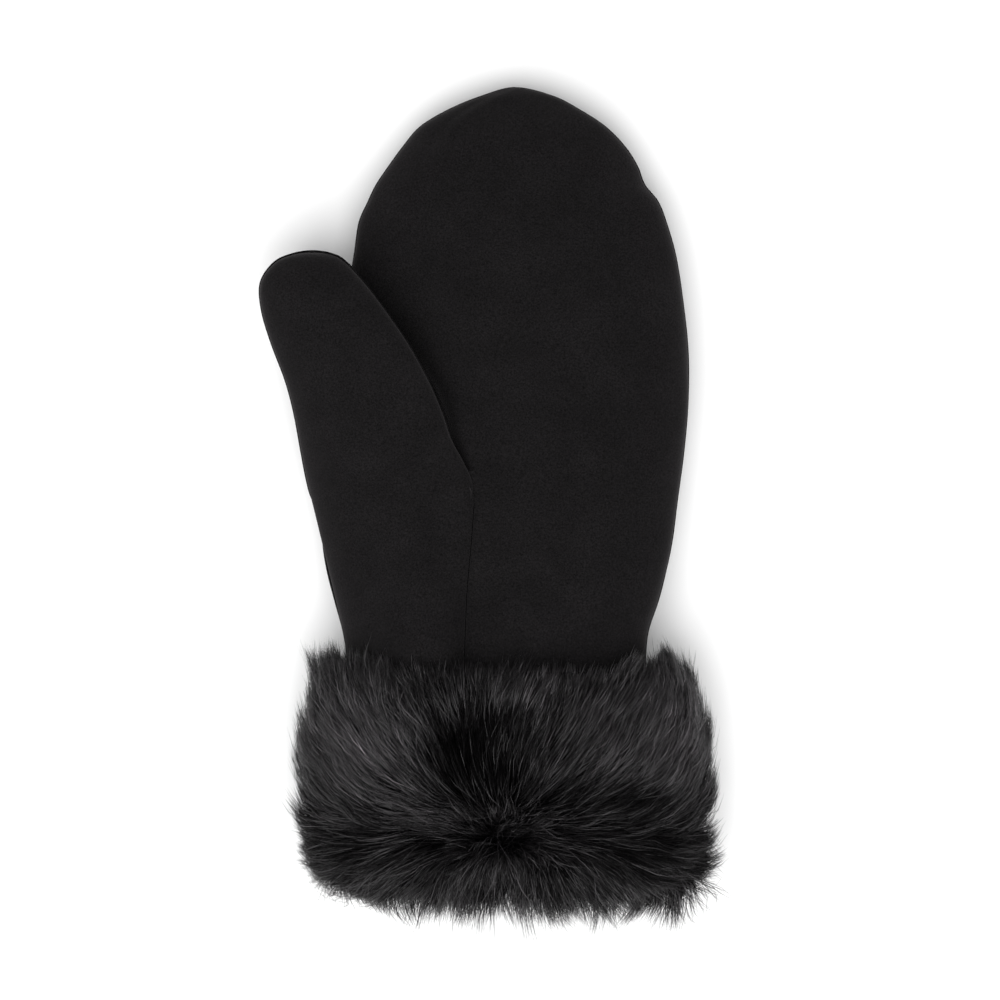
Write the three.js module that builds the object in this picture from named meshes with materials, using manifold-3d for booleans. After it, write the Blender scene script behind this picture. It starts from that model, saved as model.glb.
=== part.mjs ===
// A left-hand suede mitten with a deep fur cuff, lying palm up. Millimetres, +Z up, fingertips towards +Y.
// The suede is sewn from four hollow panels: back, palm, thumb front and thumb back. The fur cuff is a ring of
// pile on its skin, with locks fused to it, round the wrist opening.
import * as THREE from 'three';
import { mergeVertices } from 'three/addons/utils/BufferGeometryUtils.js';
import Module from 'manifold-3d';

const wasm = await Module();
wasm.setup();

// Driving dimensions.
const HAND_LENGTH = 190; // fur seam to fingertips
const HAND_WIDTH = 124; // across the palm and the root of the thumb
const HAND_HEIGHT = 36; // puffed thickness where the palm is fullest
const THUMB_REACH = 134.5; // fur seam to the tip of the thumb
const THUMB_WIDTH = 50; // across the thumb where it leaves the palm
const THUMB_HEIGHT = 22; // puffed thickness of the thumb
const WALL = 2; // suede with its bonded backing
const SEAM_GAP = 0.3; // clearance between two panels that are sewn together
const CUFF_TUCK = 8; // how far the suede runs on inside the fur
const CUFF_LENGTH = 86; // fur seam to the mouth
const CUFF_WIDTH = 136; // across the pile at its fullest
const CUFF_HEIGHT = 58; // fur standing over the surface that the mitten lies on
const LOCK_LENGTH = 17; // a lock of fur, root to tip
const LOCK_WIDTH = 12;
const LOCK_DEPTH = 5;
const LOCK_ROOT = 3; // how deep a lock is rooted in the pile
const LOCK_LIFT = 0.6; // how far the middle of a lock stands over the pile

// Ribs of the hand from the fur seam to the fingertips. along is a share of HAND_LENGTH, left and right are shares
// of HAND_WIDTH from the middle of the wrist, and seam, over and under are shares of HAND_HEIGHT: the height of the
// side seam, and how far the palm rises over it and the back sinks under it.
const HAND_RIBS = [
  { along: 0.0, left: -0.435, right: 0.371, seam: 0.6, over: 0.53, under: 0.37 },
  { along: 0.044, left: -0.446, right: 0.379, seam: 0.575, over: 0.54, under: 0.39 },
  { along: 0.096, left: -0.468, right: 0.406, seam: 0.545, over: 0.55, under: 0.42 },
  { along: 0.149, left: -0.489, right: 0.427, seam: 0.51, over: 0.56, under: 0.46 },
  { along: 0.202, left: -0.501, right: 0.444, seam: 0.475, over: 0.57, under: 0.48 },
  { along: 0.272, left: -0.5, right: 0.458, seam: 0.445, over: 0.575, under: 0.49 },
  { along: 0.36, left: -0.495, right: 0.476, seam: 0.43, over: 0.575, under: 0.49 },
  { along: 0.447, left: -0.484, right: 0.487, seam: 0.42, over: 0.57, under: 0.48 },
  { along: 0.535, left: -0.462, right: 0.487, seam: 0.415, over: 0.56, under: 0.47 },
  { along: 0.623, left: -0.438, right: 0.473, seam: 0.41, over: 0.54, under: 0.46 },
  { along: 0.702, left: -0.417, right: 0.454, seam: 0.4, over: 0.51, under: 0.44 },
  { along: 0.76, left: -0.404, right: 0.429, seam: 0.39, over: 0.475, under: 0.42 },
  { along: 0.798, left: -0.379, right: 0.406, seam: 0.382, over: 0.45, under: 0.4 },
  { along: 0.828, left: -0.357, right: 0.37, seam: 0.375, over: 0.42, under: 0.38 },
  { along: 0.86, left: -0.324, right: 0.351, seam: 0.368, over: 0.385, under: 0.35 },
  { along: 0.895, left: -0.285, right: 0.317, seam: 0.36, over: 0.34, under: 0.31 },
  { along: 0.93, left: -0.239, right: 0.265, seam: 0.35, over: 0.28, under: 0.26 },
  { along: 0.96, left: -0.164, right: 0.196, seam: 0.34, over: 0.21, under: 0.19 },
  { along: 0.985, left: -0.072, right: 0.121, seam: 0.335, over: 0.125, under: 0.115 },
  { along: 1.0, left: 0.019, right: 0.019, seam: 0.33, over: 0, under: 0 },
];

// Ribs of the thumb from the fur seam to its tip. along is a share of THUMB_REACH. out is how far its left edge
// stands outside the hand's and wide is its width, as shares of THUMB_WIDTH. leftHigh and rightHigh are the heights
// of its seams as shares of HAND_HEIGHT, over and under its bulge as shares of THUMB_HEIGHT. sewn is 1 where the
// thumb is part of the palm, with its right edge in the palm seam, and 0 where it stands free.
const THUMB_RIBS = [
  { along: 0.0, out: 0.0, wide: 0.793, leftHigh: 0.6, rightHigh: 1.1, over: 0.47, under: 0.18, sewn: 1 },
  { along: 0.1, out: 0.0, wide: 0.825, leftHigh: 0.575, rightHigh: 1.1, over: 0.48, under: 0.18, sewn: 1 },
  { along: 0.27, out: 0.0, wide: 0.95, leftHigh: 0.51, rightHigh: 1.05, over: 0.5, under: 0.18, sewn: 1 },
  { along: 0.35, out: 0.02, wide: 1.02, leftHigh: 0.5, rightHigh: 1.02, over: 0.51, under: 0.18, sewn: 1 },
  { along: 0.435, out: 0.105, wide: 1.1, leftHigh: 0.58, rightHigh: 1.0, over: 0.52, under: 0.24, sewn: 0.6 },
  { along: 0.51, out: 0.16, wide: 1.04, leftHigh: 0.64, rightHigh: 1.01, over: 0.52, under: 0.36, sewn: 0.12 },
  { along: 0.6, out: 0.22, wide: 1.0, leftHigh: 0.7, rightHigh: 1.03, over: 0.51, under: 0.44, sewn: 0 },
  { along: 0.68, out: 0.305, wide: 0.963, leftHigh: 0.74, rightHigh: 1.05, over: 0.5, under: 0.47, sewn: 0 },
  { along: 0.77, out: 0.438, wide: 0.92, leftHigh: 0.76, rightHigh: 1.05, over: 0.5, under: 0.48, sewn: 0 },
  { along: 0.852, out: 0.542, wide: 0.833, leftHigh: 0.77, rightHigh: 1.02, over: 0.47, under: 0.46, sewn: 0 },
  { along: 0.92, out: 0.582, wide: 0.703, leftHigh: 0.78, rightHigh: 0.95, over: 0.4, under: 0.4, sewn: 0 },
  { along: 0.97, out: 0.517, wide: 0.497, leftHigh: 0.79, rightHigh: 0.88, over: 0.3, under: 0.3, sewn: 0 },
  { along: 0.992, out: 0.407, wide: 0.28, leftHigh: 0.8, rightHigh: 0.84, over: 0.18, under: 0.18, sewn: 0 },
  { along: 1.0, out: 0.27, wide: 0.0, leftHigh: 0.81, rightHigh: 0.81, over: 0, under: 0, sewn: 0 },
];

// Hollows pressed into the palm, as shares of HAND_WIDTH across, HAND_LENGTH along and HAND_HEIGHT deep: the two
// that the thumb lies in.
const PALM_HOLLOWS = [
  { across: -0.34, along: 0.43, wide: 0.15, long: 0.1, deep: 0.26 },
  { across: -0.4, along: 0.58, wide: 0.19, long: 0.15, deep: 0.34 },
];

// Ribs of the fur from the suede to the mouth. along is a share of CUFF_LENGTH, left and right are shares of
// CUFF_WIDTH from the middle of the wrist, seam, over and under are shares of CUFF_HEIGHT.
const CUFF_RIBS = [
  { along: 0.02, left: -0.43, right: 0.375, seam: 0.41, over: 0.33, under: 0.28 },
  { along: 0.07, left: -0.455, right: 0.415, seam: 0.395, over: 0.43, under: 0.34 },
  { along: 0.16, left: -0.475, right: 0.447, seam: 0.385, over: 0.51, under: 0.39 },
  { along: 0.32, left: -0.49, right: 0.467, seam: 0.38, over: 0.565, under: 0.41 },
  { along: 0.5, left: -0.495, right: 0.48, seam: 0.375, over: 0.58, under: 0.41 },
  { along: 0.66, left: -0.485, right: 0.485, seam: 0.375, over: 0.56, under: 0.41 },
  { along: 0.78, left: -0.465, right: 0.47, seam: 0.385, over: 0.5, under: 0.4 },
  { along: 0.86, left: -0.425, right: 0.43, seam: 0.395, over: 0.41, under: 0.36 },
  { along: 0.9, left: -0.38, right: 0.385, seam: 0.4, over: 0.34, under: 0.33 },
];

// Dips in the pile, as shares of CUFF_WIDTH across, CUFF_LENGTH along and CUFF_HEIGHT deep: the parting where the
// upper fur turns up and the lower fur turns down, and a hollow left of the middle.
const PILE_DIPS = [
  { across: -0.02, along: 0.67, wide: 0.26, long: 0.08, deep: 0.05 },
  { across: -0.1, along: 0.38, wide: 0.09, long: 0.14, deep: 0.08 },
];

// Rows of locks. along is a share of CUFF_LENGTH, lay turns the tips from the fingers (1) to the mouth (-1), rise
// is how steeply they stand out of the pile, and count is the locks in a row right round the cuff.
const LOCK_ROWS = [
  { along: 0.17, lay: 1, rise: 0.04, count: 17 },
  { along: 0.3, lay: 1, rise: 0.06, count: 18 },
  { along: 0.46, lay: 0.9, rise: 0.08, count: 18 },
  { along: 0.61, lay: 0.7, rise: 0.1, count: 18 },
  { along: 0.73, lay: -0.8, rise: 0.1, count: 18 },
  { along: 0.82, lay: -1, rise: 0.06, count: 17 },
];

const SUEDE = new THREE.MeshStandardMaterial({ color: 0x1c1a1b, roughness: 0.95, metalness: 0 });
const FUR = new THREE.MeshStandardMaterial({ color: 0x1a191a, roughness: 0.55, metalness: 0 });

// How full a section is between its seams: 1 is an ellipse, under 1 is fuller, 2 runs out flat into the seam.
const ROUND = 0.85;
const FEATHERED = 2;

const { lerp, clamp, smoothstep } = THREE.MathUtils;

// A closed geometry as a solid.
function solidFrom(geometry) {
  geometry.deleteAttribute('normal');
  geometry.deleteAttribute('uv');
  const merged = mergeVertices(geometry, 1e-4);
  return new wasm.Manifold(new wasm.Mesh({
    numProp: 3,
    vertProperties: merged.attributes.position.array,
    triVerts: new Uint32Array(merged.index.array),
  }));
}

// A closed mesh, given as points and triangles, as a solid.
function solidOf(points, triangles) {
  const corners = triangles.flat().flatMap((i) => points[i].toArray());
  const geometry = new THREE.BufferGeometry();
  return solidFrom(geometry.setAttribute('position', new THREE.Float32BufferAttribute(corners, 3)));
}

// The solid inside a row of rings, closed by a fan at each end. Each ring runs right, over, left, under.
function loft(rings, tip = centreOf(rings.at(-1))) {
  const around = rings[0].length;
  const points = [...rings.flat(), centreOf(rings[0]), tip];
  const start = points.length - 2;
  const end = points.length - 1;
  const triangles = [];
  const last = (rings.length - 1) * around;
  for (let i = 0; i < around; i++) {
    const next = (i + 1) % around;
    triangles.push([start, i, next], [end, last + next, last + i]);
    for (let k = 0; k < last; k += around) {
      triangles.push([k + i, k + around + i, k + next], [k + next, k + around + i, k + around + next]);
    }
  }
  return solidOf(points, triangles);
}

// A panel without the slivers that a cut leaves where two faces nearly meet.
function mainBody(solid) {
  return solid.decompose().reduce((main, body) => (body.volume() > main.volume() ? body : main));
}

function centreOf(ring) {
  return ring.reduce((sum, p) => sum.add(p), new THREE.Vector3()).divideScalar(ring.length);
}

// The solid between two grids of points with as many rows and columns, low under high.
function between(low, high) {
  const columns = low[0].length;
  const points = [...low.flat(), ...high.flat()];
  const top = low.length * columns;
  const triangles = [];
  const quad = (a, b, c, d) => triangles.push([a, b, c], [a, c, d]);
  for (let r = 0; r + 1 < low.length; r++) {
    for (let c = 0; c + 1 < columns; c++) {
      const a = r * columns + c;
      quad(a, a + columns, a + columns + 1, a + 1);
      quad(top + a, top + a + 1, top + a + columns + 1, top + a + columns);
    }
    const first = r * columns;
    const right = first + columns - 1;
    quad(first, top + first, top + first + columns, first + columns);
    quad(right, right + columns, top + right + columns, top + right);
  }
  const back = (low.length - 1) * columns;
  for (let c = 0; c + 1 < columns; c++) {
    quad(c, c + 1, top + c + 1, top + c);
    quad(back + c, top + back + c, top + back + c + 1, back + c + 1);
  }
  return solidOf(points, triangles);
}

// A form with two side seams that meet at its tip. at(t) gives its left and right seam, how far it bulges over and
// under them and how much it is sewn down, from 0 at its foot to 1 at its tip. Ribs hold those in millimetres.
function form(ribs) {
  const side = (rib, edge) => new THREE.Vector3(rib[edge], rib.y, rib[edge + 'High']);
  const left = ribs.map((rib) => side(rib, 'left'));
  const right = ribs.slice(0, -1).map((rib) => side(rib, 'right')).reverse();
  const seam = new THREE.CatmullRomCurve3([...left, ...right], false, 'catmullrom', 0.5);
  const bulge = new THREE.CatmullRomCurve3(
    ribs.map((rib) => new THREE.Vector3(rib.over, rib.under, rib.sewn ?? 0)), false, 'catmullrom', 0.5);
  const at = (t) => {
    const depth = bulge.getPoint(t);
    return {
      left: seam.getPoint(t / 2),
      right: seam.getPoint(1 - t / 2),
      leftRun: seam.getTangent(t / 2),
      rightRun: seam.getTangent(1 - t / 2),
      over: Math.max(depth.x, 0),
      under: Math.max(depth.y, 0),
      sewn: clamp(depth.z, 0, 1),
    };
  };
  return { at, share: (y) => reached((t) => seam.getPoint(t / 2).y, y), tip: ribs.at(-1) };
}

// The t between 0 and 1 at which a value that grows with t reaches a goal.
function reached(value, goal) {
  let [low, high] = [0, 1];
  for (let i = 0; i < 24; i++) {
    const middle = (low + high) / 2;
    if (value(middle) < goal) low = middle;
    else high = middle;
  }
  return (low + high) / 2;
}

// One ring of a form, moved in by inset, or out where that is below 0, and no lower than floor.
function ring(rib, inset, around, floor, hollow = () => 0) {
  const inwards = (point, run, turn) => point.clone()
    .add(new THREE.Vector3(turn * run.y, -turn * run.x, 0).normalize().multiplyScalar(inset));
  const left = inwards(rib.left, rib.leftRun, 1);
  const right = inwards(rib.right, rib.rightRun, 1);
  const thin = (depth) => (inset > 0 ? depth - inset * (1 - Math.exp(-depth / inset)) : depth - inset);
  const over = thin(rib.over);
  const under = thin(rib.under);
  return Array.from({ length: around }, (_, i) => {
    const angle = (2 * Math.PI * i) / around;
    const across = Math.cos(angle);
    const up = Math.sin(angle);
    const point = left.clone().lerp(right, (1 + across) / 2);
    const power = across > 0 ? lerp(ROUND, FEATHERED, rib.sewn) : ROUND;
    const height = Math.abs(up) ** (up > 0 ? power : ROUND);
    point.z += height * (up > 0 ? over - hollow(point.x, point.y) : -under);
    point.z = Math.max(point.z, floor);
    return point;
  });
}

// The solid of a form from t = from to its tip, or of its inside where inset is a wall.
function formSolid(shape, { inset = 0, rows, around, floor = 0, hollow, foot = 0 }) {
  const rings = Array.from({ length: rows }, (_, k) => ring(shape.at(k / rows), inset, around, floor, hollow));
  if (foot) rings.unshift(rings[0].map((p) => p.clone().setY(p.y - foot)));
  const { left, y, leftHigh } = shape.tip;
  return loft(rings, new THREE.Vector3(left, y - inset, leftHigh));
}

// Smooth round dips, each an ellipse in plan, added up at a place.
function dipsAt(dips, width, length, height) {
  return (x, y) => dips.reduce((sum, dip) => {
    const across = (x / width - dip.across) / dip.wide;
    const along = (y / length - dip.along) / dip.long;
    return sum + dip.deep * height * Math.exp(-(across ** 2) - along ** 2);
  }, 0);
}

// The hand.
const palmHollow = dipsAt(PALM_HOLLOWS, HAND_WIDTH, HAND_LENGTH, HAND_HEIGHT);
const handRibs = HAND_RIBS.map((rib) => ({
  y: rib.along * HAND_LENGTH,
  left: rib.left * HAND_WIDTH,
  right: rib.right * HAND_WIDTH,
  leftHigh: rib.seam * HAND_HEIGHT,
  rightHigh: rib.seam * HAND_HEIGHT,
  over: rib.over * HAND_HEIGHT,
  under: rib.under * HAND_HEIGHT,
}));
handRibs.unshift({ ...handRibs[0], y: -CUFF_TUCK });
const hand = form(handRibs);

// The height of the palm's outer face over a place.
function palmHeight(x, y) {
  const rib = hand.at(hand.share(y));
  const half = (rib.right.x - rib.left.x) / 2;
  const across = clamp((x - rib.left.x) / half - 1, -1, 1);
  return rib.left.z + (rib.over - palmHollow(x, y)) * Math.sqrt(1 - across ** 2) ** ROUND;
}

// The thumb.
const SEAM_SINK = 0.5; // how far the edge of the thumb panel dips into the palm seam
const thumbRibs = THUMB_RIBS.map((rib) => {
  const y = rib.along * THUMB_REACH;
  const beside = hand.at(hand.share(y));
  const left = beside.left.x - rib.out * THUMB_WIDTH;
  const right = left + rib.wide * THUMB_WIDTH;
  return {
    y,
    left,
    right,
    leftHigh: lerp(rib.leftHigh * HAND_HEIGHT, beside.left.z, rib.sewn),
    rightHigh: lerp(rib.rightHigh * HAND_HEIGHT, palmHeight(right, y) - SEAM_SINK, rib.sewn),
    over: rib.over * THUMB_HEIGHT,
    under: rib.under * THUMB_HEIGHT,
    sewn: rib.sewn,
  };
});
thumbRibs.unshift({ ...thumbRibs[0], y: -CUFF_TUCK });
const thumb = form(thumbRibs);

const HAND_MESH = { rows: 28, around: 28 };
const THUMB_MESH = { rows: 18, around: 20 };
const INSIDE_MESH = { rows: 18, around: 18 };
const MOUTH = 6; // how far the inner solids run out of the open end

const handOuter = formSolid(hand, { ...HAND_MESH, hollow: palmHollow });
const handInner = formSolid(hand, { ...INSIDE_MESH, inset: WALL, floor: WALL, hollow: palmHollow, foot: MOUTH });
const thumbOuter = formSolid(thumb, THUMB_MESH);
const thumbInner = formSolid(thumb, { ...INSIDE_MESH, inset: WALL, foot: MOUTH });
const thumbGrown = formSolid(thumb, { ...THUMB_MESH, inset: -SEAM_GAP, foot: SEAM_GAP });

// Everything over or under the side seam of the hand, half a gap away from it.
const REACH = 2 * HAND_LENGTH; // past every part of the mitten
const SEAM_STATIONS = 28;
function besideSeam(sign) {
  const rows = Array.from({ length: SEAM_STATIONS + 1 }, (_, k) => {
    const t = k / SEAM_STATIONS;
    const { left } = hand.at(t);
    return { y: k === 0 ? -REACH : k === SEAM_STATIONS ? REACH : left.y, z: left.z + (sign * SEAM_GAP) / 2 };
  });
  const face = rows.map(({ y, z }) => [-REACH, REACH].map((x) => new THREE.Vector3(x, y, z)));
  const far = rows.map(({ y }) => [-REACH, REACH].map((x) => new THREE.Vector3(x, y, sign * REACH)));
  return sign > 0 ? between(face, far) : between(far, face);
}

// Everything over or under the seams of the thumb. Where the thumb is sewn down it is split at the hand's seam.
function besideThumbSeams(sign) {
  const rows = Array.from({ length: SEAM_STATIONS + 1 }, (_, k) => {
    const rib = thumb.at(k / SEAM_STATIONS);
    const y = k === 0 ? -REACH : k === SEAM_STATIONS ? REACH : rib.left.y;
    const side = hand.at(hand.share(rib.left.y)).left.z;
    const split = (edge) => lerp(edge.z, side, smoothstep(rib.sewn, 0.1, 0.95)) + (sign * SEAM_GAP) / 2;
    const beyond = 0.01; // keeps the columns apart at the tip
    return [
      new THREE.Vector3(-REACH, y, split(rib.left)),
      new THREE.Vector3(rib.left.x - beyond, y, split(rib.left)),
      new THREE.Vector3(rib.right.x + beyond, y, split(rib.right)),
      new THREE.Vector3(REACH, y, split(rib.right)),
    ];
  });
  const far = rows.map((row) => row.map((p) => p.clone().setZ(sign * REACH)));
  return sign > 0 ? between(rows, far) : between(far, rows);
}

// Everything left of the palm seam, from under the cuff to where the thumb leaves the palm.
const PALM_SEAM_END = 0.35; // as a share of THUMB_REACH
function leftOfPalmSeam() {
  const rows = Array.from({ length: SEAM_STATIONS + 1 }, (_, k) => {
    const t = (thumb.share(PALM_SEAM_END * THUMB_REACH) * k) / SEAM_STATIONS;
    const { right } = thumb.at(t);
    return [-REACH, right.x + SEAM_GAP].map((x) => new THREE.Vector3(x, k === 0 ? -REACH : right.y, 0));
  });
  return between(rows, rows.map((row) => row.map((p) => p.clone().setZ(REACH))));
}

const handShell = handOuter.subtract(handInner);
const thumbShell = thumbOuter.subtract(thumbInner).subtract(handInner).intersect(besideSeam(1));
const backPanel = mainBody(handShell.intersect(besideSeam(-1)));
const palmPanel = mainBody(handShell.intersect(besideSeam(1)).subtract(thumbGrown).subtract(leftOfPalmSeam()));
const thumbFront = mainBody(thumbShell.intersect(besideThumbSeams(1)));
const thumbBack = mainBody(thumbShell.intersect(besideThumbSeams(-1)));

// The fur cuff.
const pileDip = dipsAt(PILE_DIPS, CUFF_WIDTH, -CUFF_LENGTH, CUFF_HEIGHT);
const CUFF_MESH = { rows: 12, around: 30 };
const cuffPlan = new THREE.CatmullRomCurve3(
  CUFF_RIBS.map((rib) => new THREE.Vector3(rib.left, rib.right, rib.along)));
const cuffSide = new THREE.CatmullRomCurve3(
  CUFF_RIBS.map((rib) => new THREE.Vector3(rib.seam, rib.over, rib.under)));

// The pile's outer face at v, from 0 at the suede to 1 at the mouth, and an angle round it.
function pileAt(v, angle) {
  const plan = cuffPlan.getPoint(v);
  const side = cuffSide.getPoint(v);
  const middle = ((plan.x + plan.y) / 2) * CUFF_WIDTH;
  const half = ((plan.y - plan.x) / 2) * CUFF_WIDTH;
  const up = Math.sin(angle);
  const point = new THREE.Vector3(middle + half * Math.cos(angle), -plan.z * CUFF_LENGTH, 0);
  const rise = (up > 0 ? side.y : side.z) * CUFF_HEIGHT * Math.abs(up) ** ROUND;
  point.z = side.x * CUFF_HEIGHT + Math.sign(up) * rise - (up > 0 ? pileDip(point.x, point.y) : 0);
  return point;
}

function pileSolid() {
  const rings = Array.from({ length: CUFF_MESH.rows + 1 }, (_, k) => Array.from(
    { length: CUFF_MESH.around },
    (__, i) => pileAt(1 - k / CUFF_MESH.rows, (2 * Math.PI * i) / CUFF_MESH.around),
  ));
  return loft(rings);
}

// One lock: a flat, pointed tuft that leaves the pile at a place and lies over it. Of its two sections before the
// tip, run is a share of its length, lift its height over the pile, and wide a share of LOCK_WIDTH.
const LOCK_SECTIONS = [
  { run: -0.12, lift: -LOCK_ROOT, wide: 0.85 },
  { run: 0.45, lift: LOCK_LIFT, wide: 0.9 },
];
const FAN = 0.35; // how much the locks lean round the sides
const PARTED_RISE = 0.08; // how much more they stand up beside the parting
const UNEVEN = 0.14; // how much longer or shorter a lock is than its neighbours
function lock({ along, lay, rise }, angle, size) {
  const v = reached((t) => cuffPlan.getPoint(t).z, along);
  const foot = pileAt(v, angle);
  const step = 0.01;
  const towardsMouth = pileAt(v + step, angle).sub(pileAt(v - step, angle)).normalize();
  const round = pileAt(v, angle + step).sub(pileAt(v, angle - step)).normalize();
  const out = new THREE.Vector3().crossVectors(towardsMouth, round).normalize().negate();
  const run = towardsMouth.clone().multiplyScalar(-lay)
    .addScaledVector(round, -Math.cos(angle) * FAN * Math.sign(Math.sin(angle)))
    .addScaledVector(out, rise + (1 - Math.abs(lay)) * PARTED_RISE)
    .normalize();
  const flat = new THREE.Vector3().crossVectors(run, out).normalize();
  const thick = new THREE.Vector3().crossVectors(flat, run).normalize();
  const sections = LOCK_SECTIONS.map(({ run: far, lift, wide }) => {
    const centre = foot.clone().addScaledVector(run, far * LOCK_LENGTH * size).addScaledVector(out, lift);
    return [[1, 0], [0, 1], [-1, 0], [0, -1]].map(([across, deep]) => centre.clone()
      .addScaledVector(flat, (across * wide * size * LOCK_WIDTH) / 2)
      .addScaledVector(thick, (deep * wide * size * LOCK_DEPTH) / 2));
  });
  return loft(sections, foot.clone().addScaledVector(run, LOCK_LENGTH * size));
}

function cuffSolid() {
  let fur = pileSolid();
  LOCK_ROWS.forEach((row, r) => {
    for (let i = 0; i < row.count; i++) {
      const angle = (2 * Math.PI * (i + (r % 2) / 2)) / row.count;
      fur = fur.add(lock(row, angle, 1 + UNEVEN * Math.sin(5 * i + 3 * r)));
    }
  });
  const passage = ring(hand.at(0), WALL, INSIDE_MESH.around, 0);
  const along = (y) => passage.map((p) => p.clone().setY(y));
  const wrist = loft([along(-REACH / 2), along(REACH / 2)]);
  const suede = formSolid(hand, { ...HAND_MESH, inset: -SEAM_GAP, hollow: palmHollow, foot: SEAM_GAP });
  const overSurface = solidFrom(new THREE.BoxGeometry(REACH, REACH, REACH).translate(0, 0, REACH / 2));
  return fur.subtract(wrist).subtract(suede).subtract(thumbGrown).intersect(overSurface);
}

// A solid as a named mesh.
function piece(name, solid, material) {
  const { vertProperties, triVerts, numProp } = solid.getMesh();
  const geometry = new THREE.BufferGeometry();
  const positions = new Float32Array(triVerts.length * 3);
  triVerts.forEach((v, i) => positions.set(vertProperties.subarray(v * numProp, v * numProp + 3), i * 3));
  geometry.setAttribute('position', new THREE.BufferAttribute(positions, 3));
  geometry.computeVertexNormals();
  const mesh = new THREE.Mesh(geometry, material);
  mesh.name = name;
  return mesh;
}

const mitten = new THREE.Group();
mitten.add(
  piece('back_panel', backPanel, SUEDE),
  piece('palm_panel', palmPanel, SUEDE),
  piece('thumb_front_panel', thumbFront, SUEDE),
  piece('thumb_back_panel', thumbBack, SUEDE),
  piece('fur_cuff', cuffSolid(), FUR),
);

// The origin is under the middle of the whole mitten, on the surface that it lies on.
const box = new THREE.Box3().setFromObject(mitten);
const middle = box.getCenter(new THREE.Vector3());
mitten.position.set(-middle.x, -middle.y, -box.min.z);

export default mitten;
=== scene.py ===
# Left-hand suede mitten with a deep fur cuff, lying palm up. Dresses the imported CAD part.
# Lengths are in millimetres with y = 0 where the suede leaves the fur, and turn to metres in toFrame().
import math

import bpy
import bmesh
import numpy as np
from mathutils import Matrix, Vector, kdtree


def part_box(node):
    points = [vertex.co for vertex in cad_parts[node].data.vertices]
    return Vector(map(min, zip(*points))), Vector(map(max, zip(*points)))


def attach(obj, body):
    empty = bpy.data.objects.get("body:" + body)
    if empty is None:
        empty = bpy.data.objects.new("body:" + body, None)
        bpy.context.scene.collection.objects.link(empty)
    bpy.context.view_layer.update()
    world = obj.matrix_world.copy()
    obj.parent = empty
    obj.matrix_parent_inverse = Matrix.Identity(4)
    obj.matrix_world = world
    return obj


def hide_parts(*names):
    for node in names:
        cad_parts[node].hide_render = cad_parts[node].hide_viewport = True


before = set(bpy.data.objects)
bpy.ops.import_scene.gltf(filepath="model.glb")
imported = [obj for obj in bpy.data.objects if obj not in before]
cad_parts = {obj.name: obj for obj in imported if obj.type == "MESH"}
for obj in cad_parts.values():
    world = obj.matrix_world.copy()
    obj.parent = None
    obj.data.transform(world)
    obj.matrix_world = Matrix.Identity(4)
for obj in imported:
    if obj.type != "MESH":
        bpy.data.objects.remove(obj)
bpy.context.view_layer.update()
print("frame loaded:", ", ".join(sorted(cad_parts)))


# the hand and thumb, as the frame has them

hand = {
    "height": 36.0,
    "wall": 2.0,
    "gap": 0.3,            # between two panels that are sewn together
    "seamGap": 0.1,        # what shows of it in the palm seam
    "tuck": 8.0,           # suede inside the fur
    "round": 0.85,         # fullness of a section, 1 is an ellipse
    "feathered": 2.0,      # where a section runs out flat into the palm seam
}
backLow, backHigh = (np.array(p) * 1000 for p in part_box("back_panel"))
hand["length"] = backHigh[1] - backLow[1] - hand["tuck"]
hand["width"] = (backHigh[0] - backLow[0]) / 0.989
shift = np.array([backLow[0] + 0.501 * hand["width"], backLow[1] + hand["tuck"], 0.0])

thumb = {
    "reach": 134.5,
    "width": 50.0,
    "height": 22.0,
    "seamSink": 0.5,       # how far its sewn edge lies in the palm
    "backFrom": 38.0,      # where its far side begins
    "overPalm": 3.0,       # how far the palm that shows runs on under it
    "clearance": 0.5,      # between it and the palm under it
}

# along, left, right, seam height, bulge over, bulge under
handRibs = [
    (0.0, -0.435, 0.371, 0.6, 0.53, 0.37),
    (0.044, -0.446, 0.379, 0.575, 0.54, 0.39),
    (0.096, -0.468, 0.406, 0.545, 0.55, 0.42),
    (0.149, -0.489, 0.427, 0.51, 0.56, 0.46),
    (0.202, -0.501, 0.444, 0.475, 0.57, 0.48),
    (0.272, -0.5, 0.458, 0.445, 0.575, 0.49),
    (0.36, -0.495, 0.476, 0.43, 0.575, 0.49),
    (0.447, -0.484, 0.487, 0.42, 0.57, 0.48),
    (0.535, -0.462, 0.487, 0.415, 0.56, 0.47),
    (0.623, -0.438, 0.473, 0.41, 0.54, 0.46),
    (0.702, -0.417, 0.454, 0.4, 0.51, 0.44),
    (0.76, -0.404, 0.429, 0.39, 0.475, 0.42),
    (0.798, -0.379, 0.406, 0.382, 0.45, 0.4),
    (0.828, -0.357, 0.37, 0.375, 0.42, 0.38),
    (0.86, -0.324, 0.351, 0.368, 0.385, 0.35),
    (0.895, -0.285, 0.317, 0.36, 0.34, 0.31),
    (0.93, -0.239, 0.265, 0.35, 0.28, 0.26),
    (0.96, -0.164, 0.196, 0.34, 0.21, 0.19),
    (0.985, -0.072, 0.121, 0.335, 0.125, 0.115),
    (1.0, 0.019, 0.019, 0.33, 0, 0),
]

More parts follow.
